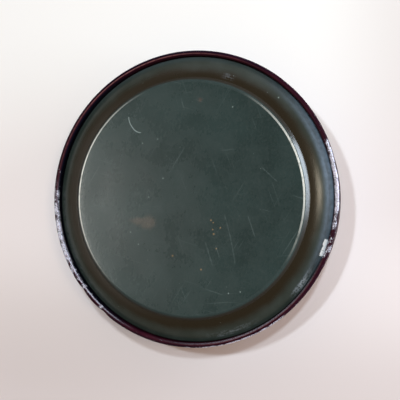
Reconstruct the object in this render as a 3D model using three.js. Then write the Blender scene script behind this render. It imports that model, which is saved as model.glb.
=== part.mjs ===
// A round slip-lid tin of shoe polish, closed and lying on its lid with its underside up.
// Four pieces share the Z axis: the lid, a loose greaseproof disc, the base pan and the wax cake in it.
// Millimetres, +Z up; the origin is the middle of the lid's outer face, which the tin lies on.

import * as THREE from "three";

// Driving dimensions.
const HEM_RADIUS = 44;
const LID_HEIGHT = 18;
const TIN_HEIGHT = 19.8;
const SHEET = 0.3;
const CLEARANCE = 0.3;
const GAP = 0.3;

// Lid: a drawn cup whose free edge is curled outward into a hem.
const HEM_CURL_RADIUS = 0.6;
const HEM_CURL_TURN = THREE.MathUtils.degToRad(285);
const LID_CORNER_RADIUS = 2;
const LID_PANEL_RADIUS = 36.2;
const LID_PANEL_RISE = 0.6;
const LID_PANEL_STEP_RUN = 0.8;
const LID_STEP_FILLET = 0.6;

// Base pan: its underside steps down from a flat foot panel to a sloping shoulder.
const FOOT_RADIUS = 34.45;
const FOOT_STEP_RUN = 1.2;
const FOOT_STEP_DROP = 1;
const FOOT_FILLET = 0.5;
const INNER_SHOULDER_RUN = 3.35;
const INNER_SHOULDER_ANGLE = THREE.MathUtils.degToRad(8);
const OUTER_SHOULDER_ANGLE = THREE.MathUtils.degToRad(34);
const SHOULDER_BEND_RADIUS = 12;
const PAN_CORNER_RADIUS = 0.8;
const MOUTH_CURL_RADIUS = 0.45;
const MOUTH_CURL_TURN = THREE.MathUtils.degToRad(240);
const MOUTH_STANDOFF = 0.9;

// Wax cake: part used, so it is dished, and shallower in the middle than at the wall.
const CAKE_EDGE_HEIGHT = 8;
const CAKE_DISH_DEPTH = 3;
const CAKE_DISH_RADIUS = 38;
const CAKE_DISH_POINTS = 8;

// Greaseproof disc over the wax.
const PAPER_RADIUS = 40.3;
const PAPER_THICKNESS = 0.2;

// Facets around the axis, and along each round stretch of an outline.
const ROUND_SEGMENTS = 48;
const FILLET_SEGMENTS = 4;
const CURL_SEGMENTS = 8;

// Worked out from the above.
const LID_WALL = HEM_RADIUS - SHEET / 2 - 2 * HEM_CURL_RADIUS;
const LID_CURL_HEIGHT = LID_HEIGHT - SHEET / 2 - HEM_CURL_RADIUS;
const LID_RING_HEIGHT = SHEET / 2 + LID_PANEL_RISE;
const PAN_WALL = LID_WALL - SHEET - CLEARANCE;
const FOOT_HEIGHT = TIN_HEIGHT - SHEET / 2;
const LID_RING_FACE = LID_RING_HEIGHT + SHEET / 2;
const MOUTH_CURL_HEIGHT = LID_RING_FACE + MOUTH_STANDOFF + SHEET / 2 + MOUTH_CURL_RADIUS;

// The points of an arc about a centre, from one angle to another, both ends included.
function arcPoints(centre, radius, fromAngle, toAngle, segments) {
  const points = [];
  for (let i = 0; i <= segments; i += 1) {
    const angle = fromAngle + ((toAngle - fromAngle) * i) / segments;
    const spoke = new THREE.Vector2(Math.cos(angle), Math.sin(angle));
    points.push(spoke.multiplyScalar(radius).add(centre));
  }
  return points;
}

// The arc that rounds one corner of an outline to the given radius.
function filletPoints(before, corner, after, radius) {
  const towardBefore = before.clone().sub(corner).normalize();
  const towardAfter = after.clone().sub(corner).normalize();
  const halfAngle = Math.acos(towardBefore.dot(towardAfter)) / 2;
  const bisector = towardBefore.clone().add(towardAfter).normalize();
  const centre = corner.clone().addScaledVector(bisector, radius / Math.sin(halfAngle));
  const tangentLength = radius / Math.tan(halfAngle);
  const start = corner.clone().addScaledVector(towardBefore, tangentLength).sub(centre);
  const end = corner.clone().addScaledVector(towardAfter, tangentLength).sub(centre);
  const turn = Math.atan2(start.cross(end), start.dot(end));
  return arcPoints(centre, radius, start.angle(), start.angle() + turn, FILLET_SEGMENTS);
}

// A path through corners given as [radius from the axis, height, fillet radius].
function roundedPath(corners) {
  const points = corners.map(([x, y]) => new THREE.Vector2(x, y));
  return corners.flatMap(([, , fillet], i) => {
    if (!fillet) {
      return [points[i]];
    }
    return filletPoints(points[i - 1], points[i], points[i + 1], fillet);
  });
}

// The same path moved sideways, to its left where the distance is positive.
function offsetPath(path, distance) {
  return path.map((point, i) => {
    const before = path[Math.max(i - 1, 0)];
    const after = path[Math.min(i + 1, path.length - 1)];
    const along = after.clone().sub(before).normalize();
    return new THREE.Vector2(point.x - along.y * distance, point.y + along.x * distance);
  });
}

// A closed outline of sheet metal around the middle line of its thickness.
function sheetOutline(path) {
  const left = offsetPath(path, SHEET / 2);
  const right = offsetPath(path, -SHEET / 2);
  return [...right, ...left.reverse()];
}

// A solid of revolution about Z from an outline that starts and ends on the axis.
function turned(outline) {
  const facingOut = THREE.ShapeUtils.area(outline) > 0 ? outline : outline.slice().reverse();
  const geometry = new THREE.LatheGeometry(facingOut, ROUND_SEGMENTS);
  return geometry.rotateX(Math.PI / 2);
}

function namedMesh(name, geometry, color, roughness, metalness) {
  const material = new THREE.MeshStandardMaterial({ color, roughness, metalness });
  const mesh = new THREE.Mesh(geometry, material);
  mesh.name = name;
  return mesh;
}

// The lid's middle line: its top panel, the corner, the skirt, then the hem curled outward.
function lidPath() {
  const toSkirt = roundedPath([
    [0, SHEET / 2],
    [LID_PANEL_RADIUS, SHEET / 2, LID_STEP_FILLET],
    [LID_PANEL_RADIUS + LID_PANEL_STEP_RUN, LID_RING_HEIGHT, LID_STEP_FILLET],
    [LID_WALL, LID_RING_HEIGHT, LID_CORNER_RADIUS],
    [LID_WALL, LID_CURL_HEIGHT],
  ]);
  const curlCentre = new THREE.Vector2(LID_WALL + HEM_CURL_RADIUS, LID_CURL_HEIGHT);
  const curlEnd = Math.PI - HEM_CURL_TURN;
  const curl = arcPoints(curlCentre, HEM_CURL_RADIUS, Math.PI, curlEnd, CURL_SEGMENTS);
  return [...toSkirt, ...curl.slice(1)];
}

// The pan's middle line from the axis to a height on its wall.
function panCorners(wallEnd) {
  const stepFoot = FOOT_RADIUS + FOOT_STEP_RUN;
  const stepFootHeight = FOOT_HEIGHT - FOOT_STEP_DROP;
  const bend = stepFoot + INNER_SHOULDER_RUN;
  const bendHeight = stepFootHeight - INNER_SHOULDER_RUN * Math.tan(INNER_SHOULDER_ANGLE);
  const cornerHeight = bendHeight - (PAN_WALL - bend) * Math.tan(OUTER_SHOULDER_ANGLE);
  return [
    [0, FOOT_HEIGHT],
    [FOOT_RADIUS, FOOT_HEIGHT, FOOT_FILLET],
    [stepFoot, stepFootHeight, FOOT_FILLET],
    [bend, bendHeight, SHOULDER_BEND_RADIUS],
    [PAN_WALL, cornerHeight, PAN_CORNER_RADIUS],
    [PAN_WALL, wallEnd],
  ];
}

// The whole pan: its underside and wall, then the mouth curled inward.
function panPath() {
  const toMouth = roundedPath(panCorners(MOUTH_CURL_HEIGHT));
  const curlCentre = new THREE.Vector2(PAN_WALL - MOUTH_CURL_RADIUS, MOUTH_CURL_HEIGHT);
  const curl = arcPoints(curlCentre, MOUTH_CURL_RADIUS, 0, -MOUTH_CURL_TURN, CURL_SEGMENTS);
  return [...toMouth, ...curl.slice(1)];
}

// The cake fills the pan's underside and ends in a dished face that looks down in this pose.
function cakeOutline() {
  const againstPan = offsetPath(roundedPath(panCorners(CAKE_EDGE_HEIGHT)), -SHEET / 2 - GAP);
  const dish = [];
  for (let i = 0; i <= CAKE_DISH_POINTS; i += 1) {
    const radius = CAKE_DISH_RADIUS * (1 - i / CAKE_DISH_POINTS);
    const rise = CAKE_DISH_DEPTH * (1 - (radius / CAKE_DISH_RADIUS) ** 2);
    dish.push(new THREE.Vector2(radius, CAKE_EDGE_HEIGHT + rise));
  }
  return [...againstPan, ...dish];
}

// The disc lies on the ring inside the lid.
function paperOutline() {
  const low = LID_RING_FACE + GAP;
  const high = low + PAPER_THICKNESS;
  return [
    new THREE.Vector2(0, low),
    new THREE.Vector2(PAPER_RADIUS, low),
    new THREE.Vector2(PAPER_RADIUS, high),
    new THREE.Vector2(0, high),
  ];
}

const tin = new THREE.Group();
tin.add(namedMesh("lid", turned(sheetOutline(lidPath())), 0x3b1d23, 0.4, 0.3));
tin.add(namedMesh("base_pan", turned(sheetOutline(panPath())), 0x36423f, 0.4, 0.2));
tin.add(namedMesh("wax_cake", turned(cakeOutline()), 0x3a1a12, 0.45, 0));
tin.add(namedMesh("greaseproof_disc", turned(paperOutline()), 0xcdb98a, 0.8, 0));

export default tin;
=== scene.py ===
import math

import bmesh
import bpy
from mathutils import Matrix, Vector, noise


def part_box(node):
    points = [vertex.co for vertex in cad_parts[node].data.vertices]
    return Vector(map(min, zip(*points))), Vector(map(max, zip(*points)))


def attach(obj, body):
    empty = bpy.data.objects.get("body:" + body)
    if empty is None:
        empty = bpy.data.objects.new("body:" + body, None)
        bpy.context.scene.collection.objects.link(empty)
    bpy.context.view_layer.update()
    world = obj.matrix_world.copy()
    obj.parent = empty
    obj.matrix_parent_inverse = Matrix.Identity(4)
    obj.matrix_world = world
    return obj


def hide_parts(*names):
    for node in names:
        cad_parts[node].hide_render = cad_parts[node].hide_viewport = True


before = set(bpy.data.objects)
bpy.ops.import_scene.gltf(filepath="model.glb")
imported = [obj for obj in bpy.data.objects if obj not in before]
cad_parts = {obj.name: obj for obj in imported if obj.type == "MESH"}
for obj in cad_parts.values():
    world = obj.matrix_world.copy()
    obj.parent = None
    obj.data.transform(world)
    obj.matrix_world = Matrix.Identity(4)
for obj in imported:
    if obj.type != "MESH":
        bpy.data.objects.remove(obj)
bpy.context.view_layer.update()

# A worn slip-lid polish tin lying on its lid, seen from above its underside.
# Lengths are metres, and millimetres times MM. The tin's axis is Z.
# Bearings are degrees from +X toward +Y.

MM = 0.001

# ---------------------------------------------------------------------------------------------
# Sizes: the outside from the frame, the rest as the sheet metal is drawn
# ---------------------------------------------------------------------------------------------

HEM_RADIUS = round(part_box("lid")[1][0], 5)
LID_HEIGHT = round(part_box("lid")[1][2], 5)
TIN_HEIGHT = round(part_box("base_pan")[1][2], 5)
PAPER_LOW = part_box("greaseproof_disc")[0][2]
PAPER_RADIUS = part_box("greaseproof_disc")[1][0]
SHEET = 0.3 * MM
CLEARANCE = 0.3 * MM
GAP = 0.3 * MM

HEM_CURL = 0.6 * MM
MOUTH_CURL = 0.45 * MM
LID_CORNER = 2 * MM
LID_PANEL_RADIUS = 36.2 * MM
LID_PANEL_RISE = 0.6 * MM
LID_STEP_RUN = 0.8 * MM
LID_STEP_FILLET = 0.6 * MM
LID_WALL = HEM_RADIUS - SHEET / 2 - 2 * HEM_CURL
LID_CURL_HEIGHT = LID_HEIGHT - SHEET / 2 - HEM_CURL
LID_RING_HEIGHT = SHEET / 2 + LID_PANEL_RISE
PAN_WALL = LID_WALL - SHEET - CLEARANCE
FOOT_HEIGHT = TIN_HEIGHT - SHEET / 2
FOOT_RADIUS = 34.45 * MM
FOOT_STEP_RUN = 1.2 * MM
FOOT_STEP_DROP = 1 * MM
FOOT_FILLET = 0.5 * MM
INNER_SHOULDER_RUN = 3.35 * MM
INNER_SHOULDER_ANGLE = math.radians(8)
OUTER_SHOULDER_ANGLE = math.radians(34)
SHOULDER_FILLET = 12 * MM
PAN_CORNER = 0.8 * MM
MOUTH_STANDOFF = 0.9 * MM
STEP_RADIUS = FOOT_RADIUS + FOOT_STEP_RUN
STEP_HEIGHT = FOOT_HEIGHT - FOOT_STEP_DROP
BEND_RADIUS = STEP_RADIUS + INNER_SHOULDER_RUN
BEND_HEIGHT = STEP_HEIGHT - (BEND_RADIUS - STEP_RADIUS) * math.tan(INNER_SHOULDER_ANGLE)
CORNER_HEIGHT = BEND_HEIGHT - (PAN_WALL - BEND_RADIUS) * math.tan(OUTER_SHOULDER_ANGLE)
MOUTH_CURL_HEIGHT = LID_RING_HEIGHT + SHEET + MOUTH_STANDOFF + MOUTH_CURL
CAKE_EDGE = 8 * MM
CAKE_DISH = 3 * MM
CAKE_DISH_RADIUS = 38 * MM
PAPER_THICKNESS = 0.12 * MM

# How far the pan sits toward +X in its slip fit, and how much wider it is along Y.
PAN_SHIFT = 0.2 * MM
PAN_OVAL = 0.13 * MM

# Faces round the axis, and the longest stretch of an outline between two points.
AROUND = 288
STEP = 1.5 * MM

# ---------------------------------------------------------------------------------------------
# Outlines, as (distance from the axis, height)
# ---------------------------------------------------------------------------------------------


def arc(centre, radius, start, end, steps):
    """Points of an arc, angles in degrees, both ends included."""
    angles = [math.radians(start + (end - start) * i / steps) for i in range(steps + 1)]
    return [Vector((centre[0] + radius * math.cos(a), centre[1] + radius * math.sin(a))) for a in angles]


def fillet(before, corner, after, radius, steps):
    """The arc that rounds one corner."""
    back, ahead = (before - corner).normalized(), (after - corner).normalized()
    half = math.acos(back.dot(ahead)) / 2
    centre = corner + (back + ahead).normalized() * radius / math.sin(half)
    start = corner + back * radius / math.tan(half) - centre
    end = corner + ahead * radius / math.tan(half) - centre
    first = math.atan2(start.y, start.x)
    turn = math.atan2(start.x * end.y - start.y * end.x, start.dot(end))
    return arc(centre, radius, math.degrees(first), math.degrees(first + turn), steps)


def rounded(corners, steps=10):
    """A path through corners given as (distance, height) or (distance, height, fillet radius)."""
    points = [Vector(c[:2]) for c in corners]
    path = []
    for i, corner in enumerate(corners):
        if len(corner) == 3:
            path += fillet(points[i - 1], points[i], points[i + 1], corner[2], steps)
        else:
            path.append(points[i])
    return path


def divided(path, step=STEP):
    """The same path with its long straight stretches cut into steps."""
    out = [path[0]]
    for a, b in zip(path, path[1:]):
        count = max(1, math.ceil((b - a).length / step))
        out += [a.lerp(b, (i + 1) / count) for i in range(count)]
    return out


def beside(path, distance):
    """The path moved sideways, to its left where the distance is positive."""
    moved = []
    for i, point in enumerate(path):
        along = (path[min(i + 1, len(path) - 1)] - path[max(i - 1, 0)]).normalized()
        moved.append(Vector((point.x - along.y * distance, point.y + along.x * distance)))
    return moved


def lid_path():
    run = rounded([
        (0, SHEET / 2),
        (LID_PANEL_RADIUS, SHEET / 2, LID_STEP_FILLET),
        (LID_PANEL_RADIUS + LID_STEP_RUN, LID_RING_HEIGHT, LID_STEP_FILLET),
        (LID_WALL, LID_RING_HEIGHT, LID_CORNER),
        (LID_WALL, LID_CURL_HEIGHT),
    ])
    curl = arc((LID_WALL + HEM_CURL, LID_CURL_HEIGHT), HEM_CURL, 180, -105, 30)
    return divided(run) + curl[1:]


def pan_corners(wall_end):
    return [
        (0, FOOT_HEIGHT),
        (FOOT_RADIUS, FOOT_HEIGHT, FOOT_FILLET),
        (STEP_RADIUS, STEP_HEIGHT, FOOT_FILLET),
        (BEND_RADIUS, BEND_HEIGHT, SHOULDER_FILLET),
        (PAN_WALL, CORNER_HEIGHT, PAN_CORNER),
        (PAN_WALL, wall_end),
    ]


def pan_path():
    run = rounded(pan_corners(MOUTH_CURL_HEIGHT))
    curl = arc((PAN_WALL - MOUTH_CURL, MOUTH_CURL_HEIGHT), MOUTH_CURL, 0, -240, 24)
    return divided(run) + curl[1:]


def cake_outline():
    against_pan = beside(divided(rounded(pan_corners(CAKE_EDGE))), -SHEET / 2 - GAP)
    dish = []
    rings = 44
    for i in range(rings + 1):
        radius = CAKE_DISH_RADIUS * (1 - i / rings)
        dish.append(Vector((radius, CAKE_EDGE + CAKE_DISH * (1 - (radius / CAKE_DISH_RADIUS) ** 2))))
    rim = divided([against_pan[-1], dish[0]], 0.8 * MM)
    return against_pan[:-1] + rim[:-1] + dish


def paper_outline():
    rings = 34
    low = [Vector((PAPER_RADIUS * i / rings, PAPER_LOW)) for i in range(rings + 1)]
    high = [Vector((p.x, PAPER_LOW + PAPER_THICKNESS)) for p in reversed(low)]
    return low + high


# ---------------------------------------------------------------------------------------------
# Meshes
# ---------------------------------------------------------------------------------------------


def turned(name, outline, shape=None, inside_from=None):
    """A solid of revolution about Z from an outline that starts and ends on the axis.
    shape(bearing, point) gives how far each vertex moves (outward, up).
    Bands of faces from the point numbered inside_from on take the second material."""
    mesh = bmesh.new()
    rings = []
    for point in outline:
        if point.x < 1e-7:
            rise = shape(0.0, point)[1] if shape else 0.0
            rings.append([mesh.verts.new((0, 0, point.y + rise))])
            continue
        ring = []
        for k in range(AROUND):
            bearing = 2 * math.pi * k / AROUND
            outward, rise = shape(bearing, point) if shape else (0.0, 0.0)
            radius = point.x + outward
            place = (radius * math.cos(bearing), radius * math.sin(bearing), point.y + rise)
            ring.append(mesh.verts.new(place))
        rings.append(ring)
    for band, (below, above) in enumerate(zip(rings, rings[1:])):
        for k in range(AROUND):
            pairs = ((below, k), (below, k + 1), (above, k + 1), (above, k))
            corners = (ring[i % len(ring)] for ring, i in pairs)
            face = mesh.faces.new(dict.fromkeys(corners))
            face.smooth = True
            face.material_index = int(inside_from is not None and band >= inside_from)
    bmesh.ops.recalc_face_normals(mesh, faces=mesh.faces)
    data = bpy.data.meshes.new(name)
    mesh.to_mesh(data)
    mesh.free()
    piece = bpy.data.objects.new(name, data)
    bpy.context.scene.collection.objects.link(piece)
    return piece


def bump_at(bearing, centre, width):
    """1 at a bearing, falling smoothly to 0 a width away; all in degrees."""
    off = (math.degrees(bearing) - centre + 180) % 360 - 180
    return math.exp(-((off / width) ** 2))


# Knocks in the hem: bearing, width in degrees, how far inward, how far down.
HEM_KNOCKS = (
    (219, 2.0, 0.20, 0.16),
    (231.5, 2.2, 0.24, 0.2),
    (48.5, 2.0, 0.05, 0.12),
    (268, 5.0, 0.05, 0.05),
    (8, 4.0, 0.0, 0.08),
    (-22, 3.0, 0.0, 0.16),
)


def waver(bearing, seed, repeats):
    """Smooth noise round the tin, between about -1 and 1."""
    return noise.noise(Vector((repeats * math.cos(bearing), repeats * math.sin(bearing), seed)))


def lid_shape(bearing, point):
    """The lid as used: its wall a little out of round, its hem rippled and knocked inward."""
    on_wall = max(0.0, min(1.0, (point.y - 2 * MM) / (LID_CURL_HEIGHT - 2 * MM)))
    inward = 0.02 * MM * (1 + waver(bearing, 3.1, 1.6)) * on_wall
    near_hem = max(0.0, min(1.0, (point.y - LID_HEIGHT + 3 * MM) / (2.5 * MM))) ** 2
    inward += 0.012 * MM * (1 + waver(bearing, 7.7, 9)) * near_hem
    drop = 0.02 * MM * (1 + waver(bearing, 5.3, 7)) * near_hem
    for centre, width, depth, fall in HEM_KNOCKS:
        knock = bump_at(bearing, centre, width) * near_hem
        inward += depth * MM * knock
        drop += fall * MM * knock
    if point.x < LID_PANEL_RADIUS:
        drop = -0.06 * MM * (1 - (point.x / LID_PANEL_RADIUS) ** 2)
    return -inward, -drop


# Pry marks in the pan's shoulder: bearing, width, distance from the axis, reach, depth.
PRY_MARKS = (
    (-21.5, 4.5, 41.8, 0.8, 0.14),
    (-35, 4.0, 40.6, 1.3, 0.16),
    (-75, 5.0, 40.2, 1.2, 0.08),
    (74, 3.0, 37.6, 1.0, 0.05),
)


def pan_shape(bearing, point):
    """The pan as used: a little oval, its panel slightly wavy, its shoulder nicked where it was prised."""
    drop = 0.0
    if point.y > CORNER_HEIGHT:
        x, y = point.x * math.cos(bearing) / MM, point.x * math.sin(bearing) / MM
        wave = noise.noise(Vector((x * 0.045, y * 0.045, 2.0)))
        wave += 0.5 * noise.noise(Vector((x * 0.11, y * 0.11, 9.0)))
        on_panel = max(0.0, min(1.0, (FOOT_RADIUS / MM - 1.0 - point.x / MM) / 6))
        drop += (0.07 + 0.05 * wave) * MM * on_panel
        for centre, width, distance, reach, depth in PRY_MARKS:
            across = math.exp(-(((point.x / MM - distance) / reach) ** 2))
            drop += depth * MM * across * bump_at(bearing, centre, width)
    near_wall = max(0.0, min(1.0, (point.x / MM - 39.5) / 2))
    outward = PAN_OVAL * math.sin(bearing) ** 2 * near_wall
    return outward, -drop


def crack(x, y):
    """How deep a drying crack is at a place on the wax, 0 to 1."""
    place = Vector((x * 0.06 + 0.8 * noise.noise(Vector((x * 0.12, y * 0.12, 4.0))), y * 0.06, 1.7))
    near = noise.voronoi(place)[0]
    return max(0.0, 1.0 - (near[1] - near[0]) / 0.035)


def cake_shape(bearing, point):
    """Wax that has been used: swirled by a cloth, scooped to one side, and cracked as it dried."""
    on_face = point.y < CAKE_EDGE + CAKE_DISH + 0.1 * MM and point.x < PAN_WALL - 0.7 * MM
    if not on_face:
        return 0.0, 0.0
    x, y = point.x * math.cos(bearing) / MM, point.x * math.sin(bearing) / MM
    lump = noise.fractal(Vector((x * 0.08, y * 0.08, 6.0)), 1.0, 2.0, 4)
    swirl = math.sin(point.x / MM * 2.1 + 1.4 * math.cos(bearing * 2 + 0.6) + 3 * lump)
    scoop = math.exp(-(((x - 9) / 13) ** 2 + ((y + 6) / 15) ** 2))
    rise = 0.35 * lump + 0.10 * swirl + 1.6 * scoop + 1.5 * crack(x, y)
    return 0.0, max(-0.1, rise) * MM


def paper_shape(bearing, point):
    """Greaseproof paper that has relaxed: low waves, more of them toward its edge."""
    share = point.x / PAPER_RADIUS
    wave = 0.5 + 0.5 * waver(bearing, 1.3, 0.5 + 2.2 * share)
    cockle = 0.5 + 0.5 * waver(bearing, 8.8, 7 * share)
    return 0.0, (0.36 * wave * share**2 + 0.1 * cockle * share**3) * MM


# Bands of faces inward from the lid's free edge that are still lacquered: the curl's hollow side
# and a little of the inner wall.
LACQUER_INSIDE_LID = 34
# Bands on the round side of the pan's mouth curl, next to its free edge, that are bare.
BARE_MOUTH_BANDS = 12


def make_lid():
    path = lid_path()
    outer, inner = beside(path, -SHEET / 2), beside(path, SHEET / 2)[::-1]
    piece = turned("lid_shell", outer + inner, lid_shape, inside_from=len(outer) + LACQUER_INSIDE_LID)
    piece.data.materials.append(lid_lacquer())
    piece.data.materials.append(bare_tin())
    return piece


def make_pan():
    """The pan has slid to one side of its slip fit, so the slot is wider on the other."""
    path = pan_path()
    outer, inner = beside(path, SHEET / 2), beside(path, -SHEET / 2)[::-1]
    piece = turned("pan_shell", outer + inner, pan_shape, inside_from=len(outer) - BARE_MOUTH_BANDS)
    piece.data.transform(Matrix.Translation((PAN_SHIFT, 0, 0)))
    piece.data.materials.append(pan_lacquer())
    piece.data.materials.append(bare_tin())
    return piece


def make_cake():
    piece = turned("wax", cake_outline(), cake_shape)
    piece.data.materials.append(wax())
    return piece


def make_paper():
    piece = turned("paper_disc", paper_outline(), paper_shape)
    piece.data.materials.append(greaseproof())
    return piece


# ---------------------------------------------------------------------------------------------
# Materials
# ---------------------------------------------------------------------------------------------


# Where the marks that run round the tin keep their true length.
MARK_RADIUS = 42.0


class Finish:
    """A material being built: each call adds one node and gives back its output.
    Coordinates are the tin's own, in millimetres."""

    def __init__(self, name):
        self.material = bpy.data.materials.new(name)
        self.material.use_nodes = True
        self.tree = self.material.node_tree
        self.shader = self.tree.nodes["Principled BSDF"]
        place = self.tree.nodes.new("ShaderNodeTexCoord").outputs["Object"]
        scale = self.tree.nodes.new("ShaderNodeVectorMath")
        scale.operation = "SCALE"
        self.tree.links.new(place, scale.inputs[0])
        scale.inputs["Scale"].default_value = 1 / MM
        self.place = scale.outputs["Vector"]
        split = self.tree.nodes.new("ShaderNodeSeparateXYZ")
        self.tree.links.new(self.place, split.inputs[0])
        self.x, self.y, self.z = split.outputs
        square = self.math("ADD", self.times(self.x, self.x), self.times(self.y, self.y))
        self.radius = self.math("SQRT", square)
        self.bearing = self.math("DEGREES", self.math("ARCTAN2", self.y, self.x))

    def put(self, socket, value):
        if isinstance(value, bpy.types.NodeSocket):
            self.tree.links.new(value, socket)
        elif isinstance(value, (tuple, list)) and len(value) == 3 and socket.type == "RGBA":
            socket.default_value = (*value, 1)
        else:
            socket.default_value = value

    def math(self, operation, *values):
        node = self.tree.nodes.new("ShaderNodeMath")
        node.operation = operation
        for socket, value in zip(node.inputs, values):
            self.put(socket, value)
        return node.outputs[0]

    def scaled(self, factors, offset=(0, 0, 0)):
        """The place in millimetres times a factor along each axis, plus an offset."""
        node = self.tree.nodes.new("ShaderNodeVectorMath")
        node.operation = "MULTIPLY_ADD"
        self.put(node.inputs[0], self.place)
        node.inputs[1].default_value = factors
        node.inputs[2].default_value = offset
        return node.outputs["Vector"]

    def turned(self, degrees, factors, offset=(0, 0, 0)):
        """The place turned about Z, then scaled: for grain that runs one way."""
        node = self.tree.nodes.new("ShaderNodeMapping")
        node.vector_type = "POINT"
        self.put(node.inputs["Vector"], self.place)
        node.inputs["Rotation"].default_value = (0, 0, math.radians(degrees))
        scale = self.tree.nodes.new("ShaderNodeVectorMath")
        scale.operation = "MULTIPLY_ADD"
        self.put(scale.inputs[0], node.outputs["Vector"])
        scale.inputs[1].default_value = factors
        scale.inputs[2].default_value = offset
        return scale.outputs["Vector"]

    def polar(self, along, across):
        """A place that runs round the tin and outward from its axis, for marks that follow the hem."""
        node = self.tree.nodes.new("ShaderNodeCombineXYZ")
        ring = self.math("DIVIDE", MARK_RADIUS * along, self.radius)
        self.put(node.inputs[0], self.math("MULTIPLY", self.x, ring))
        self.put(node.inputs[1], self.math("MULTIPLY", self.y, ring))
        self.put(node.inputs[2], self.math("MULTIPLY", self.radius, across))
        return node.outputs[0]

    def noise(self, scale, detail=3.0, roughness=0.55, vector=None, distortion=0.0):
        """Noise from 0 to 1; scale is per millimetre."""
        node = self.tree.nodes.new("ShaderNodeTexNoise")
        self.put(node.inputs["Vector"], vector or self.place)
        node.inputs["Scale"].default_value = scale
        node.inputs["Detail"].default_value = detail
        node.inputs["Roughness"].default_value = roughness
        node.inputs["Distortion"].default_value = distortion
        return node.outputs["Fac"]

    def cells(self, scale):
        """(distance to the nearest cell point, that cell's own random number)."""
        node = self.tree.nodes.new("ShaderNodeTexVoronoi")
        self.put(node.inputs["Vector"], self.place)
        node.inputs["Scale"].default_value = scale
        split = self.tree.nodes.new("ShaderNodeSeparateColor")
        self.tree.links.new(node.outputs["Color"], split.inputs[0])
        return node.outputs["Distance"], split.outputs[0]

    def step(self, value, low, high, to_low=0.0, to_high=1.0):
        """A smooth step: to_low below low, to_high above high."""
        node = self.tree.nodes.new("ShaderNodeMapRange")
        node.interpolation_type = "SMOOTHSTEP"
        self.put(node.inputs["Value"], value)
        self.put(node.inputs["From Min"], low)
        self.put(node.inputs["From Max"], high)
        self.put(node.inputs["To Min"], to_low)
        self.put(node.inputs["To Max"], to_high)
        return node.outputs["Result"]

    def band(self, value, low, high, soft):
        """1 between low and high, falling to 0 over soft outside them."""
        rise = self.step(value, low - soft, low)
        fall = self.step(value, high, high + soft, 1.0, 0.0)
        return self.math("MULTIPLY", rise, fall)

    def mix(self, share, a, b):
        node = self.tree.nodes.new("ShaderNodeMix")
        node.data_type = "RGBA"
        self.put(node.inputs["Factor"], share)
        self.put(node.inputs["A"], a)
        self.put(node.inputs["B"], b)
        return node.outputs["Result"]

    def blend(self, share, a, b):
        node = self.tree.nodes.new("ShaderNodeMix")
        node.data_type = "FLOAT"
        self.put(node.inputs["Factor"], share)
        self.put(node.inputs["A"], a)
        self.put(node.inputs["B"], b)
        return node.outputs["Result"]

    def inverse(self, value):
        return self.math("SUBTRACT", 1.0, value)

    def centred(self, value):
        """A noise from 0 to 1 brought to -0.5 to 0.5."""
        return self.math("SUBTRACT", value, 0.5)

    def times(self, *values):
        product = values[0]
        for value in values[1:]:
            product = self.math("MULTIPLY", product, value)
        return product

    def either(self, *values):
        most = values[0]
        for value in values[1:]:
            most = self.math("MAXIMUM", most, value)
        return most

    def stroke(self, start, end, width, bow=0.0):
        """1 along a line between two places on the XY plane, 0 beyond its width; bow curves it."""
        run = Vector(end) - Vector(start)
        length, along = run.length, run.normalized()
        u = self.math("ADD", self.times(self.x, along.x), self.times(self.y, along.y))
        u = self.math("SUBTRACT", u, Vector(start).dot(along))
        v = self.math("ADD", self.times(self.x, -along.y), self.times(self.y, along.x))
        v = self.math("SUBTRACT", v, Vector((-along.y, along.x)).dot(Vector(start)))
        if bow:
            share = self.math("DIVIDE", u, length)
            arch = self.times(share, self.math("SUBTRACT", 1.0, share), 4 * bow)
            v = self.math("SUBTRACT", v, arch)
        near = self.step(self.math("ABSOLUTE", v), 0.0, width, 1.0, 0.0)
        return self.times(near, self.band(u, 0.0, length, length * 0.12))

    def spot(self, centre, size, flat=1.0):
        """1 at a place on the XY plane, falling to 0 at a distance of size; flat squeezes it along Y."""
        dx = self.math("SUBTRACT", self.x, centre[0])
        dy = self.math("DIVIDE", self.math("SUBTRACT", self.y, centre[1]), flat)
        away = self.math("SQRT", self.math("ADD", self.times(dx, dx), self.times(dy, dy)))
        return self.step(away, 0.0, size, 1.0, 0.0)

    def around(self, centre, width):
        """1 at a bearing, falling to 0 a width away."""
        off = self.math("WRAP", self.math("SUBTRACT", self.bearing, centre), 180.0, -180.0)
        return self.step(self.math("ABSOLUTE", off), 0.0, width, 1.0, 0.0)

    def bump(self, height, strength, distance, under=None):
        """A normal from a height; distance is in millimetres."""
        node = self.tree.nodes.new("ShaderNodeBump")
        node.inputs["Strength"].default_value = strength
        node.inputs["Distance"].default_value = distance * MM
        self.put(node.inputs["Height"], height)
        if under is not None:
            self.put(node.inputs["Normal"], under)
        return node.outputs["Normal"]

    def finish(self, color, roughness, metallic=0.0, normal=None, specular=0.5):
        self.put(self.shader.inputs["Base Color"], color)
        self.put(self.shader.inputs["Roughness"], roughness)
        self.put(self.shader.inputs["Metallic"], metallic)
        self.shader.inputs["Specular IOR Level"].default_value = specular
        if normal is not None:
            self.put(self.shader.inputs["Normal"], normal)
        return self.material


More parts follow.
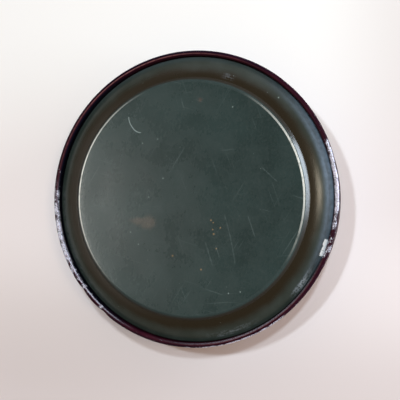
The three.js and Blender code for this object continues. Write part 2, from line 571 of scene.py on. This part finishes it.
# Colours are linear RGB. Distances from the axis and heights are in millimetres in the materials.
PANEL_DARK, PANEL_LIGHT = (0.0076, 0.0215, 0.021), (0.0145, 0.033, 0.032)
PANEL_PATCH, PANEL_BRUSHED, PANEL_GRAIN = (0.022, 0.04, 0.039), (0.027, 0.044, 0.043), (0.04, 0.053, 0.05)
SHOULDER_DARK, SHOULDER_LIGHT = (0.022, 0.0285, 0.0235), (0.031, 0.038, 0.033)
# Painted light on the shoulder: a bluish painted reflection for its right side and a paler painted light for
# its top.
SHOULDER_PAINTED_SHEEN, SHOULDER_TOP_PAINTED_LIGHT = (0.2, 0.25, 0.33), (0.07, 0.085, 0.088)
# The first colour below is painted shade, the dark brown band round the shoulder by the step; stain and
# smudge are real marks.
SHOULDER_PAINTED_SHADE, STAIN, SMUDGE = (0.0125, 0.0085, 0.004), (0.1, 0.078, 0.062), (0.12, 0.06, 0.045)
SPECK, RUST, SCRATCH = (0.26, 0.3, 0.28), (0.33, 0.19, 0.09), (0.27, 0.32, 0.31)
# The first colour below is partly lacquer worn off the step's lip and partly a painted cream highlight.
# The last colour below is bare tin at a chipped spot, painted near white as a glint.
STEP_WEAR_AND_HIGHLIGHT, RUBBED_TIN, CHIPPED_TIN_AND_GLINT = (0.92, 0.87, 0.79), (0.6, 0.66, 0.74), (0.97, 0.94, 0.96)

# The last colour below is painted shade, nearly black, for the outer half of the hem.
MAROON_DARK, MAROON_LIGHT, HEM_OUTER_PAINTED_SHADE = (0.02, 0.0025, 0.007), (0.036, 0.005, 0.011), (0.003, 0.001, 0.008)
# The first colour below is painted shade, nearly black navy, for the lid's inner wall down in the slot.
# The second colour below is partly lacquer worn thin on the hem's crest and partly a painted highlight.
SLOT_PAINTED_SHADE, HEM_PINK_WEAR_AND_HIGHLIGHT = (0.003, 0.003, 0.009), (0.3, 0.13, 0.12)
HEM_TIN_DULL, HEM_TIN_BRIGHT = (0.28, 0.2, 0.29), (0.8, 0.83, 0.95)

TIN_GREY, TIN_GOLD, WAX_SMEAR = (0.5, 0.47, 0.4), (0.62, 0.58, 0.48), (0.07, 0.03, 0.018)
WAX_DARK, WAX_LIGHT, WAX_BLOOM = (0.02, 0.006, 0.003), (0.05, 0.017, 0.008), (0.13, 0.075, 0.05)
PAPER_DARK, PAPER_LIGHT = (0.42, 0.32, 0.19), (0.52, 0.42, 0.27)
PAPER_GREASE, PAPER_WAX = (0.22, 0.13, 0.06), (0.05, 0.018, 0.01)

# Floor colours: the near and right ones are painted shade, darker than the rest of the plain ground.
FLOOR_NEAR_SHADE, FLOOR_MIDDLE = (0.7, 0.585, 0.57), (0.93, 0.8, 0.79)
FLOOR_FAR, FLOOR_RIGHT_SHADE = (0.91, 0.83, 0.8), (0.55, 0.45, 0.43)

# Sides of the tin, as bearings, and the tops of the hem and the foot panel.
LEFT, RIGHT, TOP = 180, 10, 95
HEM_TOP = LID_HEIGHT / MM
PANEL_HEIGHT = TIN_HEIGHT / MM

# Small marks on the foot panel, as places on XY.
PALE_SPECKS = (
    (-13.9, 16.5), (-9.1, 17.6), (-17.6, -10.0), (-15.1, -13.6), (-11.9, 0.4),
    (-7.4, 5.9), (13.8, 26.2), (26.9, 28.6), (12.5, -27.5), (16, -27),
)
PALE_SPECK_SIZE = 0.34
RUST_SPOTS = (  # place, size
    ((7.3, -6.5), 0.4), ((8.0, -7.2), 0.32), ((7.8, -9.2), 0.35), ((8.1, -10.5), 0.45),
    ((10.1, -8.7), 0.4), ((8.9, -14.7), 0.35), ((4.3, -20.8), 0.4), ((-4.4, -16.9), 0.45),
)
SCRATCH_STROKES = (  # start, end, width, bow
    ((5.7, -13.3), (7.6, -19.2), 0.3, 0.0),
    ((8.7, -13.8), (9.8, -17.3), 0.24, 0.0),
    ((11.6, -5.9), (14.3, -18.2), 0.26, 0.25),
    ((18.4, -5.7), (20.2, -11.1), 0.24, 0.0),
    ((22.5, 8.4), (26.4, 4.7), 0.24, 0.0),
    ((-1.8, 29.2), (-1.0, 26.6), 0.26, 0.0),
)
LINT_STROKES = (
    ((-18.3, 24.3), (-17.0, 21.2), 0.2, -0.25),
    ((-17.1, 21.3), (-14.6, 19.7), 0.2, -0.35),
)


def fine_scratches(f, count, threshold):
    """Hair scratches in a few directions, as a mask from 0 to 1."""
    lines = []
    for i in range(count):
        grain = f.turned(17 + 53 * i, (0.05, 2.6, 0.05), (11 * i, 5 * i, 3 * i))
        line = f.step(f.noise(1.0, 2.0, 0.5, grain), threshold, threshold + 0.05)
        patch = f.step(f.noise(0.09, 1.0, 0.5, f.scaled((1, 1, 1), (40 * i, 0, 0))), 0.5, 0.62)
        lines.append(f.times(line, patch))
    return f.either(*lines)


def panel_marks(f, color, brushed, grain):
    """The panel's stain, specks, rust spots and smudge, over a colour."""
    blot = f.either(f.spot((-15.2, -6.7), 4.6, 0.42), f.spot((-12.2, -7.2), 4.4, 0.75))
    ragged = f.math("ADD", blot, f.times(f.centred(f.noise(0.5, 4.0, 0.65)), 1.1))
    stain = f.times(f.step(ragged, 0.15, 0.75), f.step(brushed, 0.2, 0.7, 0.7, 1.0))
    color = f.mix(f.times(stain, 0.6), color, STAIN)

    near, lot = f.cells(0.5)
    specks = f.times(f.step(near, 0.03, 0.08, 1.0, 0.0), f.step(lot, 0.82, 0.86))
    pale = f.either(*(f.spot(place, PALE_SPECK_SIZE) for place in PALE_SPECKS))
    color = f.mix(f.either(f.times(specks, 0.4), f.times(pale, 0.75)), color, SPECK)

    rust = f.either(*(f.spot(place, size) for place, size in RUST_SPOTS))
    color = f.mix(f.times(rust, 0.7), color, RUST)
    smudge = f.times(f.spot((4.0, 28.7), 1.1), f.step(grain, 0.3, 0.6))
    return f.mix(f.times(smudge, 0.4), color, SMUDGE)


def panel_scratches(f):
    """A few long scratches, a hair of lint and fainter hair scratches, as a mask."""
    broken = f.step(f.noise(1.1, 2.0), 0.3, 0.62, 0.15, 0.75)
    strokes = f.either(*(f.stroke(*stroke) for stroke in SCRATCH_STROKES))
    lint = f.either(*(f.stroke(*stroke) for stroke in LINT_STROKES))
    on_panel = f.step(f.radius, 34.0, 35.5, 1.0, 0.0)
    hair = f.times(fine_scratches(f, 4, 0.66), 0.12, on_panel)
    return f.either(f.times(strokes, broken, 0.2), hair, f.times(lint, 0.9))


def shoulder_rubs(f, grain):
    """Streaky rubs on the shoulder, at three places round it, as a mask."""
    dashes = f.times(f.noise(1.0, 2.0, 0.5, f.polar(0.4, 2.2)), f.step(grain, 0.3, 0.6, 0.55, 1.0))
    rub = f.times(f.around(-36, 8.5), f.band(f.radius, 40.9, 41.6, 0.6), f.step(dashes, 0.25, 0.6))
    low_rub = f.times(f.around(-72, 14), f.band(f.radius, 40.2, 41.2, 0.5), f.step(dashes, 0.3, 0.65))
    top_rub = f.times(f.around(71, 4), f.band(f.radius, 36.7, 38.0, 0.4), f.step(dashes, 0.3, 0.65))
    return f.either(f.times(rub, 0.42), f.times(low_rub, 0.12), f.times(top_rub, 0.11))


def pan_lacquer():
    """Dark green lacquer, clouded and finely mottled, bare where it is worn through; its colour also holds
    painted shade toward the step, a painted sheen at the right of the shoulder, painted light at its top,
    and painted highlights on the worn lip and a chipped spot.
    """
    f = Finish("pan_lacquer")
    clouds = f.noise(0.06, 3.0, 0.5)
    patches = f.noise(0.17, 3.0, 0.5)
    brushed = f.noise(1.0, 2.0, 0.6, f.turned(12, (1.6, 0.8, 1)))
    grain = f.noise(2.0, 2.0, 0.6)

    color = f.mix(f.step(clouds, 0.3, 0.7), PANEL_DARK, PANEL_LIGHT)
    color = f.mix(f.step(patches, 0.35, 0.75, 0.0, 0.4), color, PANEL_PATCH)
    color = f.mix(f.step(brushed, 0.2, 0.8, 0.0, 0.3), color, PANEL_BRUSHED)
    color = f.mix(f.step(grain, 0.4, 0.8, 0.0, 0.35), color, PANEL_GRAIN)

    on_shoulder = f.step(f.radius, 35.2, 36.2)
    shoulder = f.mix(f.step(patches, 0.35, 0.7), SHOULDER_DARK, SHOULDER_LIGHT)
    color = f.mix(f.times(on_shoulder, 0.9), color, shoulder)
    # Painted shade: a dark brown band all round the shoulder next to the step, fading out between about 37
    # and 40 mm from the axis.
    cloudy_edge = f.math("ADD", f.radius, f.times(f.centred(f.noise(0.12, 3.0)), 2.4))
    painted_shade = f.times(f.step(f.radius, 34.7, 35.3), f.step(cloudy_edge, 37.2, 40.2, 1.0, 0.0))
    color = f.mix(f.times(painted_shade, 0.95), color, SHOULDER_PAINTED_SHADE)

    color = panel_marks(f, color, brushed, grain)
    scratches = panel_scratches(f)
    color = f.mix(scratches, color, SCRATCH)

    # Painted reflection: a streaky bluish sheen on the outer shoulder round the right side, where the window
    # lamp would be mirrored.
    streaks = f.noise(1.0, 3.0, 0.6, f.polar(0.7, 1.2))
    off_wall = f.step(f.z, 14.5, 15.5)
    sheen = f.times(f.around(RIGHT, 56), f.step(f.radius, 39.2, 41.6), f.step(streaks, 0.2, 0.8, 0.55, 1.0))
    color = f.mix(f.times(sheen, off_wall, 0.85), color, SHOULDER_PAINTED_SHEEN)
    # Painted light: the outer shoulder made paler round the top side.
    painted_top_light = f.times(f.around(TOP, 75), f.step(f.radius, 40.0, 42.0))
    color = f.mix(f.times(painted_top_light, 0.5), color, SHOULDER_TOP_PAINTED_LIGHT)

    # The step's lip: partly worn through and partly a painted cream highlight, only round the left and right
    # sides where lamps are mirrored in it.
    on_lip = f.times(
        f.band(f.radius, 34.2, 34.62, 0.1),
        f.step(f.z, PANEL_HEIGHT - 0.4, PANEL_HEIGHT - 0.25),
    )
    rubbed = f.either(f.around(172, 64), f.times(f.around(14, 50), 0.8))
    lip = f.times(on_lip, rubbed, f.step(f.noise(0.5, 3.0), 0.25, 0.5, 0.5, 1.0))
    color = f.mix(lip, color, STEP_WEAR_AND_HIGHLIGHT)
    bare = shoulder_rubs(f, grain)
    color = f.mix(bare, color, RUBBED_TIN)

    # A chipped spot on the shoulder by the hem: bare tin painted near white as a glint.
    ragged_radius = f.math("ADD", f.radius, f.times(f.centred(f.noise(0.9, 2.0)), 0.9))
    two_nicks = f.either(f.band(f.bearing, -23.2, -21.4, 0.4), f.band(f.bearing, -20.9, -16.8, 0.4))
    chip_and_glint = f.times(two_nicks, f.step(ragged_radius, 41.4, 41.5), f.step(f.z, 15.2, 15.4))
    color = f.mix(chip_and_glint, color, CHIPPED_TIN_AND_GLINT)

    roughness = f.step(patches, 0.2, 0.8, 0.25, 0.31)
    roughness = f.math("ADD", roughness, f.times(f.centred(brushed), 0.06))
    roughness = f.blend(f.step(f.radius, 35.2, 36.2, 0.0, 0.8), roughness, 0.25)
    dulled = f.times(f.around(LEFT, 100), f.step(f.radius, 37.0, 39.0, 1.0, 0.0), on_shoulder)
    roughness = f.blend(f.times(dulled, 0.9), roughness, 0.6)
    on_step = f.band(f.radius, 34.2, 35.6, 0.2)
    roughness = f.blend(f.times(on_step, f.inverse(f.around(LEFT, 60))), roughness, 0.6)
    roughness = f.blend(f.times(on_step, f.around(14, 62)), roughness, 0.16)
    roughness = f.blend(f.either(bare, f.times(scratches, 0.4)), roughness, 0.32)

    skin = f.bump(grain, 0.5, 0.01, f.bump(brushed, 0.5, 0.025))
    cut = f.inverse(f.either(scratches, bare))
    return f.finish(color, roughness, f.times(bare, 0.75), f.bump(cut, 0.4, 0.02, skin))


def hem_wear(f, fleck):
    """Where the lacquer is gone from the hem, as a mask: most at the right and left, in flecks below."""
    blocks = f.noise(1.0, 3.0, 0.6, f.polar(0.5, 0.9))
    level = f.math("ADD", f.times(blocks, 0.55), f.times(fleck, 0.45))
    crest = f.band(f.radius, 42.85, 43.65, 0.3)
    kept_block = f.band(f.bearing, 22.5, 25.0, 0.6)
    right = f.times(f.around(6, 46), f.inverse(f.times(kept_block, 0.9)))
    right = f.times(right, f.math("ADD", 0.44, f.times(crest, 0.3)))
    lower_right = f.times(f.around(-18, 24), 0.52)
    left = f.times(f.around(194, 58), 0.66)
    outer_edge = f.times(f.around(287, 62), f.step(f.radius, 43.35, 43.75), 0.72)
    top = f.times(f.around(90, 80), 0.1)
    lower_left = f.times(f.around(250, 40), 0.3)
    share = f.either(right, lower_right, left, outer_edge, top, lower_left)
    need = f.step(share, 0.0, 0.9, 0.74, 0.37)
    patches = f.step(level, need, f.math("ADD", need, 0.07))

    knocks = f.either(f.around(196, 1.1), f.around(202, 0.9), f.around(218.6, 1.0), f.around(229.5, 1.1))
    knocks = f.times(knocks, f.band(f.radius, 42.6, 43.4, 0.2), f.step(fleck, 0.35, 0.5))
    along_edge = f.either(f.around(208, 40), f.times(f.around(300, 50), 0.25))
    inner_line = f.times(f.band(f.radius, 42.6, 42.85, 0.08), along_edge, f.step(fleck, 0.3, 0.5))
    return f.either(patches, knocks, inner_line)


def skirt_wear(f, clouds):
    """Chips, hoops of fine scratches and a rubbed corner on the lid's outside, as a mask."""
    near, lot = f.cells(0.3)
    chips = f.times(f.step(near, 0.06, 0.12, 1.0, 0.0), f.step(lot, 0.86, 0.88))
    hoop_lines = f.step(f.noise(1.0, 2.0, 0.5, f.scaled((0.1, 0.1, 3.5))), 0.62, 0.7)
    hoops = f.times(hoop_lines, f.step(clouds, 0.45, 0.6))
    below_hem = f.step(f.z, HEM_TOP - 2.2, HEM_TOP - 1.6, 1.0, 0.0)
    scuffs = f.times(f.either(f.times(chips, 0.6), f.times(hoops, 0.1)), below_hem)
    corner_rub = f.times(f.band(f.z, 0.3, 1.8, 0.3), f.step(f.noise(0.8, 4.0, 0.7), 0.56, 0.64), 0.8)
    return f.either(scuffs, corner_rub)


def lid_lacquer():
    """Dark maroon lacquer, worn through along the hem, with painted shade on the hem's outer half and in the
    slot, and a thin pink line on the crest that is partly wear and partly a painted highlight.
    """
    f = Finish("lid_lacquer")
    clouds = f.noise(0.12, 4.0, 0.6)
    fleck = f.noise(4.2, 2.0, 0.6)
    on_hem = f.step(f.z, HEM_TOP - 1.5, HEM_TOP - 0.9)

    color = f.mix(f.step(clouds, 0.35, 0.65), MAROON_DARK, MAROON_LIGHT)
    # Painted shade: the outer half of the hem made nearly black, most round the top.
    shaded_outer_half = f.times(f.step(f.radius, 43.1, 43.35), f.either(f.around(100, 95), 0.35))
    color = f.mix(f.times(shaded_outer_half, 0.9), color, HEM_OUTER_PAINTED_SHADE)
    # Painted shade: the lid's inner wall in the slot made nearly black navy on the left side.
    leftward = f.step(f.math("ABSOLUTE", f.bearing), 105.0, 135.0)
    painted_slot_shade = f.times(f.step(f.radius, 42.58, 42.68, 1.0, 0.0), f.step(f.z, 8.0, 9.0), leftward)
    color = f.mix(painted_slot_shade, color, SLOT_PAINTED_SHADE)

    # A thin pink line along the hem's crest: partly lacquer worn thin and partly a painted highlight, mostly
    # round the upper left.
    along_crest = f.either(f.around(118, 70), f.times(f.around(300, 50), 0.6))
    pink_wear_and_highlight = f.times(f.band(f.radius, 42.9, 43.02, 0.1), along_crest, on_hem)
    thin_pink_wear_and_highlight = f.times(pink_wear_and_highlight, f.step(f.noise(1.6, 3.0), 0.3, 0.6, 0.3, 1.0))
    color = f.mix(f.times(thin_pink_wear_and_highlight, 0.6), color, HEM_PINK_WEAR_AND_HIGHLIGHT)

    bare = f.either(f.times(on_hem, hem_wear(f, fleck)), skirt_wear(f, clouds))
    color = f.mix(bare, color, f.mix(f.step(fleck, 0.38, 0.62), HEM_TIN_DULL, HEM_TIN_BRIGHT))

    roughness = f.blend(bare, f.step(clouds, 0.3, 0.7, 0.3, 0.42), f.step(fleck, 0.3, 0.7, 0.28, 0.5))
    roughness = f.blend(painted_slot_shade, roughness, 0.8)
    skin = f.bump(f.noise(1.3, 3.0), 0.2, 0.03)
    edge = f.bump(f.inverse(bare), 0.5, 0.03, skin)
    return f.finish(color, roughness, f.times(bare, 0.5), f.bump(fleck, 0.4, 0.03, edge), specular=0.07)


def bare_tin():
    """Tinplate inside the cups: dull bright metal, faintly gold, with wax smeared in places."""
    f = Finish("bare_tin")
    clouds = f.noise(0.1, 4.0, 0.6)
    color = f.mix(f.step(clouds, 0.35, 0.7), TIN_GREY, TIN_GOLD)
    smear = f.step(f.noise(0.16, 4.0, 0.65, f.turned(25, (1, 0.4, 1))), 0.5, 0.72)
    color = f.mix(f.times(smear, 0.65), color, WAX_SMEAR)
    roughness = f.blend(smear, f.step(clouds, 0.3, 0.7, 0.3, 0.44), 0.5)
    draw_lines = f.noise(1.0, 2.0, 0.5, f.scaled((1, 1, 14)))
    return f.finish(color, roughness, f.inverse(f.times(smear, 0.8)), f.bump(draw_lines, 0.15, 0.02))


def wax():
    """Dark brown polish: soft sheen where a cloth wiped it, dull and pale where it dried."""
    f = Finish("wax")
    clouds = f.noise(0.2, 4.0, 0.6)
    color = f.mix(f.step(clouds, 0.35, 0.65), WAX_DARK, WAX_LIGHT)
    bloom = f.step(f.noise(0.8, 4.0, 0.7), 0.55, 0.75)
    color = f.mix(f.times(bloom, 0.5), color, WAX_BLOOM)
    wipes = f.noise(1.0, 3.0, 0.6, f.turned(35, (0.15, 1.4, 0.15)))
    roughness = f.blend(bloom, f.step(wipes, 0.3, 0.7, 0.28, 0.5), 0.7)
    normal = f.bump(wipes, 0.4, 0.12, f.bump(f.noise(2.2, 4.0, 0.6), 0.35, 0.08))
    return f.finish(color, roughness, 0.0, normal)


def greaseproof():
    """Thin tan paper, fibrous, darkened where grease soaked in and ringed by wax."""
    f = Finish("greaseproof")
    fibres = f.noise(1.0, 3.0, 0.6, f.turned(12, (0.5, 3.0, 1)))
    color = f.mix(f.step(fibres, 0.3, 0.7), PAPER_DARK, PAPER_LIGHT)
    soak = f.step(f.noise(0.09, 4.0, 0.6, distortion=0.8), 0.46, 0.56)
    color = f.mix(f.times(soak, 0.6), color, PAPER_GREASE)
    print_of_wax = f.times(f.band(f.radius, 26.0, 37.0, 3.0), f.step(f.noise(0.35, 4.0, 0.7), 0.5, 0.64))
    color = f.mix(f.times(print_of_wax, 0.7), color, PAPER_WAX)
    roughness = f.blend(soak, 0.75, 0.45)
    normal = f.bump(fibres, 0.4, 0.04, f.bump(f.noise(0.5, 3.0), 0.5, 0.2))
    return f.finish(color, roughness, 0.0, normal)


def floor_cloth():
    """Plain white ground with painted shade: darker toward -Y and +X."""
    f = Finish("floor_cloth")
    # Painted shade: the ground is darker toward -Y, and darker again at +X on the near side.
    color = f.mix(f.step(f.y, -62.0, -6.0), FLOOR_NEAR_SHADE, FLOOR_MIDDLE)
    color = f.mix(f.step(f.y, -8.0, 56.0), color, FLOOR_FAR)
    painted_shade_right = f.times(f.step(f.x, 30.0, 70.0), f.step(f.y, -40.0, 0.0))
    color = f.mix(f.times(painted_shade_right, 0.45), color, FLOOR_RIGHT_SHADE)
    return f.finish(color, 0.95, specular=0.1)


# ---------------------------------------------------------------------------------------------
# Stage: floor, lights, camera
# ---------------------------------------------------------------------------------------------

CAMERA_DISTANCE = 225 * MM
CAMERA_TILT = math.radians(16.2)
CAMERA_DROP = math.radians(2)
VIEW_WIDTH = 117.4 * MM
AIM = Vector((3.48 * MM, -0.55 * MM, LID_HEIGHT))
SENSOR_WIDTH = 36  # in millimetres, the one length here that isn't in metres

FLOOR_SIZE = 1.6
# The world: its colours, and the sines of the elevations that it changes between.
HORIZON, ROOM = (0.66, 0.64, 0.63, 1), (0.25, 0.165, 0.1, 1)
HORIZON_END, ROOM_START = 0.16, 0.36


def make_floor():
    bpy.ops.mesh.primitive_plane_add(size=FLOOR_SIZE)
    ground = bpy.context.object
    ground.name = "floor"
    ground.data.materials.append(floor_cloth())


def lamp(name, bearing, elevation, distance, size, radiance, color, glossy=True, diffuse=True):
    """A rectangular lamp aimed at the tin, at a bearing and an elevation in degrees.
    size is across and up, in metres; radiance is how bright its face is."""
    data = bpy.data.lights.new(name, "AREA")
    data.shape = "RECTANGLE"
    data.size, data.size_y = size
    data.energy = radiance * math.pi * size[0] * size[1]
    data.color = color
    light = bpy.data.objects.new(name, data)
    a, e = math.radians(bearing), math.radians(elevation)
    away = Vector((math.cos(e) * math.cos(a), math.cos(e) * math.sin(a), math.sin(e)))
    across = Vector((-math.sin(a), math.cos(a), 0))
    turn = Matrix((across, away.cross(across), away)).transposed().to_4x4()
    light.matrix_world = Matrix.Translation(away * distance) @ turn
    light.visible_glossy = glossy
    light.visible_diffuse = diffuse
    bpy.context.scene.collection.objects.link(light)


def make_camera():
    """A camera over the tin, tilted toward +X and a little toward -Y."""
    data = bpy.data.cameras.new("camera")
    data.sensor_width = SENSOR_WIDTH
    data.lens = SENSOR_WIDTH * CAMERA_DISTANCE / VIEW_WIDTH
    data.clip_start = 0.01
    cam = bpy.data.objects.new("camera", data)
    back = Vector((math.tan(CAMERA_TILT), -math.tan(CAMERA_DROP), 1)).normalized()
    right = Vector((0, 1, 0)).cross(back).normalized()
    turn = Matrix((right, back.cross(right), back)).transposed().to_4x4()
    cam.matrix_world = Matrix.Translation(AIM + back * CAMERA_DISTANCE) @ turn
    bpy.context.scene.collection.objects.link(cam)
    bpy.context.scene.camera = cam


def make_world():
    """A dim warm room, pale near the horizon."""
    studio = bpy.data.worlds.new("studio")
    bpy.context.scene.world = studio
    studio.use_nodes = True
    tree = studio.node_tree
    split = tree.nodes.new("ShaderNodeSeparateXYZ")
    tree.links.new(tree.nodes.new("ShaderNodeTexCoord").outputs["Generated"], split.inputs[0])
    height = tree.nodes.new("ShaderNodeMapRange")
    height.interpolation_type = "SMOOTHSTEP"
    height.inputs["From Min"].default_value = HORIZON_END
    height.inputs["From Max"].default_value = ROOM_START
    tree.links.new(split.outputs["Z"], height.inputs["Value"])
    room = tree.nodes.new("ShaderNodeMix")
    room.data_type = "RGBA"
    room.inputs["A"].default_value = HORIZON
    room.inputs["B"].default_value = ROOM
    tree.links.new(height.outputs["Result"], room.inputs["Factor"])
    background = tree.nodes["Background"]
    tree.links.new(room.outputs["Result"], background.inputs["Color"])
    background.inputs["Strength"].default_value = 1.0


def light_the_stage():
    """Lamps that make the highlights, then two that light the floor and cast its shadows."""
    lamp("left_panel", 180, 58, 0.8, (0.2, 0.13), 12.0, (1, 0.98, 0.94), diffuse=False)
    lamp("window", 13, 18, 0.6, (0.5, 0.11), 17.0, (0.76, 0.88, 1))
    lamp("warm_lamp", 8, 60, 0.9, (0.12, 0.12), 24.0, (1, 0.86, 0.66))
    lamp("top_panel", 92, 40, 0.9, (0.8, 0.4), 0.4, (0.95, 0.97, 1))
    lamp("upper_right_soft", 50, 69, 0.9, (0.05, 0.05), 390, (0.68, 0.88, 0.98), glossy=False)
    lamp("upper_left_soft", 118, 76, 0.9, (0.05, 0.05), 390, (0.68, 0.88, 0.98), glossy=False)


# ---------------------------------------------------------------------------------------------
# Put together
# ---------------------------------------------------------------------------------------------

PIECES = (
    (make_lid, "lid", "lid", "lid_lacquer"),
    (make_pan, "base_pan", "base", "base_lacquer"),
    (make_cake, "wax_cake", "base", "wax"),
    (make_paper, "greaseproof_disc", "paper", "greaseproof_paper"),
)

for make, node, body, material_slot in PIECES:
    made = make()
    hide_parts(node)
    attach(made, body)

make_floor()
make_world()
make_camera()
light_the_stage()
bpy.context.scene.view_settings.view_transform = "Standard"
